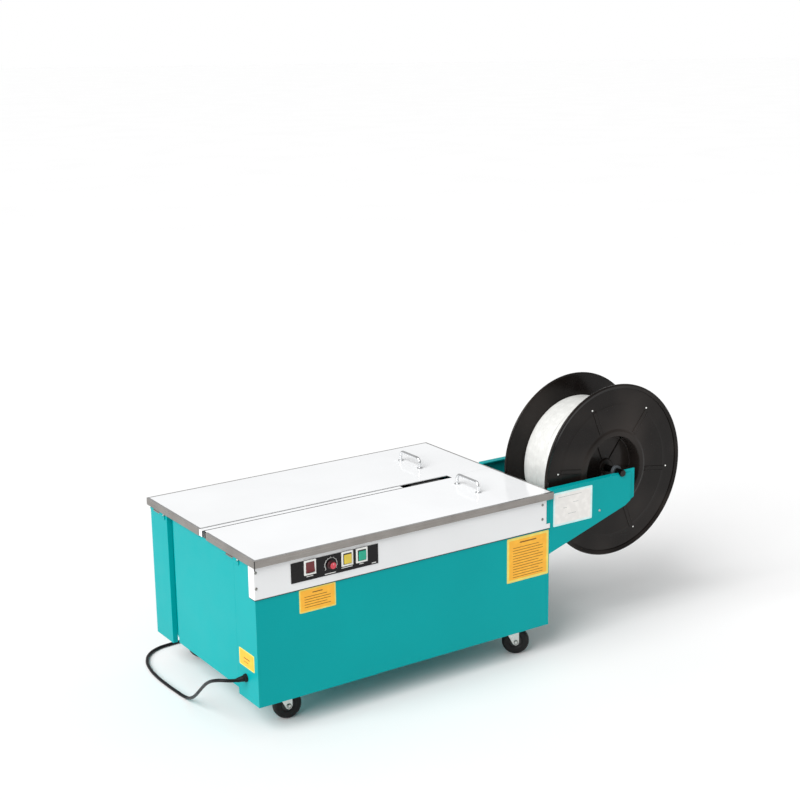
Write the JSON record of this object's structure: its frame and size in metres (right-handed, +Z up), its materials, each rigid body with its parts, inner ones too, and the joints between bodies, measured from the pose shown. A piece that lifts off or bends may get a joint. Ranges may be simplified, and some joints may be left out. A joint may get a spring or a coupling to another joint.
{
  "type": "semi-automatic strapping machine",
  "caption": "Low-table semi-automatic strapping machine: wheeled cabinet with two hinged table lids over a strapping head, front controls and a strap reel on end arms.",
  "frame": {"origin": "on the floor under the middle of the machine's box, without its mains lead", "axes": "+X along the table towards the reel, +Y from the control side to the back, +Z up"},
  "size_m": [1.3866, 0.7288, 0.668],
  "materials": {
    "teal_paint": "semi-gloss powder coat",
    "white_enamel": "gloss baked enamel",
    "stainless": "brushed along the edge",
    "zinc_plate": "bright zinc plating",
    "chrome": "polished chrome plating",
    "black_film": "satin black film",
    "pale_plastic": "satin moulded plastic",
    "red_rocker": "gloss dark red",
    "red_knob": "satin red",
    "yellow_button": "translucent yellow",
    "green_button": "translucent green",
    "cast_metal": "painted casting",
    "machined_steel": "machined",
    "blackened_steel": "black oxide",
    "belt_rubber": "matt",
    "reel_plastic": "gloss black moulding",
    "cardboard": "kraft board",
    "strap_plastic": "embossed polypropylene strap",
    "wheel_rubber": "matt black",
    "cord_rubber": "satin black"
  },
  "bodies": {
    "base": {"chassis_frame": "teal_paint", "bottom_pan": "teal_paint", "front_panel": "teal_paint", "rear_panel": "teal_paint", "left_side_panel": "teal_paint", "right_side_panel": "teal_paint", "control_fascia": "white_enamel", "control_plate": "black_film", "rocker_bezel": "pale_plastic", "yellow_bezel": "pale_plastic", "green_bezel": "pale_plastic", "front_hinge_base": "teal_paint", "rear_hinge_base": "teal_paint", "strap_slideway": "white_enamel", "head_frame": "cast_metal", "main_motor": "cast_metal", "gearbox": "cast_metal", "drive_belt": "belt_rubber", "strap_pool_box": "zinc_plate", "electrical_box": "zinc_plate", "front_reel_arm": "teal_paint", "rear_reel_arm": "teal_paint", "mains_cord": "cord_rubber", "cord_coil": "cord_rubber", "mains_plug": "cord_rubber", "cord_gland": "cord_rubber"},
    "front_lid": {"front_table_lid": "white_enamel", "front_lid_trim": "stainless", "front_lift_handle": "chrome"},
    "rear_lid": {"rear_table_lid": "white_enamel", "rear_lid_trim": "stainless", "rear_lift_handle": "chrome"},
    "rocker": {"power_rocker": "red_rocker"},
    "knob": {"tension_knob": "red_knob"},
    "yellow_push": {"feed_button_yellow": "yellow_button"},
    "green_push": {"reset_button_green": "green_button"},
    "reel": {"front_reel_flange": "reel_plastic", "rear_reel_flange": "reel_plastic", "reel_core": "cardboard", "strap_coil": "strap_plastic", "reel_shaft": "blackened_steel"},
    "dancer": {"dancer_lever": "zinc_plate"},
    "dancer_roller": {"guide_roller": "pale_plastic"},
    "motor_rotor": {"motor_pulley": "machined_steel"},
    "gearbox_input": {"gearbox_pulley": "machined_steel"},
    "camshaft": {"cam_shaft": "machined_steel"},
    "feed": {"feed_roller": "cast_metal"},
    "left_grip": {"left_gripper": "blackened_steel"},
    "centre_grip": {"centre_press": "blackened_steel"},
    "right_grip": {"right_gripper": "blackened_steel"},
    "anvil": {"anvil_slide": "blackened_steel"},
    "heater": {"heater_carriage": "zinc_plate"},
    "front_left_swivel": {"front_left_caster_fork": "zinc_plate"},
    "front_left_wheel": {"front_left_caster_wheel": "wheel_rubber"},
    "front_right_swivel": {"front_right_caster_fork": "zinc_plate"},
    "front_right_wheel": {"front_right_caster_wheel": "wheel_rubber"},
    "rear_left_swivel": {"rear_left_caster_fork": "zinc_plate"},
    "rear_left_wheel": {"rear_left_caster_wheel": "wheel_rubber"},
    "rear_right_swivel": {"rear_right_caster_fork": "zinc_plate"},
    "rear_right_wheel": {"rear_right_caster_wheel": "wheel_rubber"}
  },
  "joints": [
    {"name": "front_lid_hinge", "type": "hinge", "parent": "base", "child": "front_lid", "pos_m": [-0.65745, -0.16195, 0.4125], "axis": [0, -1, 0], "range_deg": [0, 100]},
    {"name": "rear_lid_hinge", "type": "hinge", "parent": "base", "child": "rear_lid", "pos_m": [-0.65745, 0.22805, 0.4125], "axis": [0, -1, 0], "range_deg": [0, 100]},
    {"name": "power_rocker_tilt", "type": "hinge", "parent": "base", "child": "rocker", "pos_m": [-0.51405, -0.26875, 0.3875], "axis": [1, 0, 0], "range_deg": [0, 16]},
    {"name": "tension_knob_turn", "type": "hinge", "parent": "base", "child": "knob", "pos_m": [-0.45755, -0.27695, 0.3815], "axis": [0, -1, 0], "range_deg": [-135, 135]},
    {"name": "yellow_button_press", "type": "slide", "parent": "base", "child": "yellow_push", "axis": [0, 1, 0], "range_m": [0, 0.0025], "stiffness_N_per_m": 400, "springref_m": -0.002},
    {"name": "green_button_press", "type": "slide", "parent": "base", "child": "green_push", "axis": [0, 1, 0], "range_m": [0, 0.0025], "stiffness_N_per_m": 400, "springref_m": -0.002},
    {"name": "reel_spin", "type": "hinge", "parent": "base", "child": "reel", "pos_m": [0.43045, -0.15195, 0.438], "axis": [0, 1, 0], "continuous": true},
    {"name": "dancer_swing", "type": "hinge", "parent": "base", "child": "dancer", "pos_m": [0.21145, -0.12995, 0.318], "axis": [0, -1, 0], "range_deg": [0, 30], "stiffness_Nm_per_rad": 1.2, "springref_deg": -14.32},
    {"name": "dancer_roller_spin", "type": "hinge", "parent": "dancer", "child": "dancer_roller", "pos_m": [0.21145, -0.14995, 0.256], "axis": [0, 1, 0], "continuous": true},
    {"name": "gearbox_input_spin", "type": "hinge", "parent": "base", "child": "gearbox_input", "pos_m": [0.12945, -0.09495, 0.336], "axis": [0, 1, 0], "continuous": true},
    {"name": "motor_spin", "type": "hinge", "parent": "base", "child": "motor_rotor", "pos_m": [0.12945, -0.09495, 0.15], "axis": [0, 1, 0], "continuous": true},
    {"name": "camshaft_spin", "type": "hinge", "parent": "base", "child": "camshaft", "pos_m": [0.00745, -0.01745, 0.336], "axis": [1, 0, 0], "continuous": true},
    {"name": "feed_roller_spin", "type": "hinge", "parent": "base", "child": "feed", "pos_m": [-0.11655, -0.01745, 0.368], "axis": [0, 1, 0], "continuous": true},
    {"name": "left_gripper_lift", "type": "slide", "parent": "base", "child": "left_grip", "axis": [0, 0, 1], "range_m": [0, 0.0035], "stiffness_N_per_m": 1500, "springref_m": -0.003},
    {"name": "centre_press_lift", "type": "slide", "parent": "base", "child": "centre_grip", "axis": [0, 0, 1], "range_m": [0, 0.0035], "stiffness_N_per_m": 1500, "springref_m": -0.003},
    {"name": "right_gripper_lift", "type": "slide", "parent": "base", "child": "right_grip", "axis": [0, 0, 1], "range_m": [0, 0.0035], "stiffness_N_per_m": 1500, "springref_m": -0.003},
    {"name": "anvil_shift", "type": "slide", "parent": "base", "child": "anvil", "axis": [0, 1, 0], "range_m": [0, 0.026]},
    {"name": "heater_slide", "type": "slide", "parent": "base", "child": "heater", "axis": [0, 1, 0], "range_m": [0, 0.026]},
    {"name": "front_left_caster_swivel", "type": "hinge", "parent": "base", "child": "front_left_swivel", "pos_m": [-0.56155, -0.20695, 0.076], "axis": [0, 0, 1], "continuous": true},
    {"name": "front_left_wheel_spin", "type": "hinge", "parent": "front_left_swivel", "child": "front_left_wheel", "pos_m": [-0.54967, -0.20862, 0.035], "axis": [0.1392, 0.9903, 0], "continuous": true},
    {"name": "front_right_caster_swivel", "type": "hinge", "parent": "base", "child": "front_right_swivel", "pos_m": [0.10645, -0.21895, 0.076], "axis": [0, 0, 1], "continuous": true},
    {"name": "front_right_wheel_spin", "type": "hinge", "parent": "front_right_swivel", "child": "front_right_wheel", "pos_m": [0.11651, -0.22549, 0.035], "axis": [0.5446, 0.8387, 0], "continuous": true},
    {"name": "rear_left_caster_swivel", "type": "hinge", "parent": "base", "child": "rear_left_swivel", "pos_m": [-0.56855, 0.22505, 0.076], "axis": [0, 0, 1], "continuous": true},
    {"name": "rear_left_wheel_spin", "type": "hinge", "parent": "rear_left_swivel", "child": "rear_left_wheel", "pos_m": [-0.55655, 0.22505, 0.035], "axis": [0, 1, 0], "continuous": true},
    {"name": "rear_right_caster_swivel", "type": "hinge", "parent": "base", "child": "rear_right_swivel", "pos_m": [0.10345, 0.22505, 0.076], "axis": [0, 0, 1], "continuous": true},
    {"name": "rear_right_wheel_spin", "type": "hinge", "parent": "rear_right_swivel", "child": "rear_right_wheel", "pos_m": [0.11545, 0.22505, 0.035], "axis": [0, 1, 0], "continuous": true}
  ],
  "couplings": [
    {"joint": "motor_spin", "follows": "gearbox_input_spin", "ratio": 2},
    {"joint": "camshaft_spin", "follows": "gearbox_input_spin", "ratio": 0.033333},
    {"joint": "feed_roller_spin", "follows": "gearbox_input_spin", "ratio": 0.25}
  ]
}
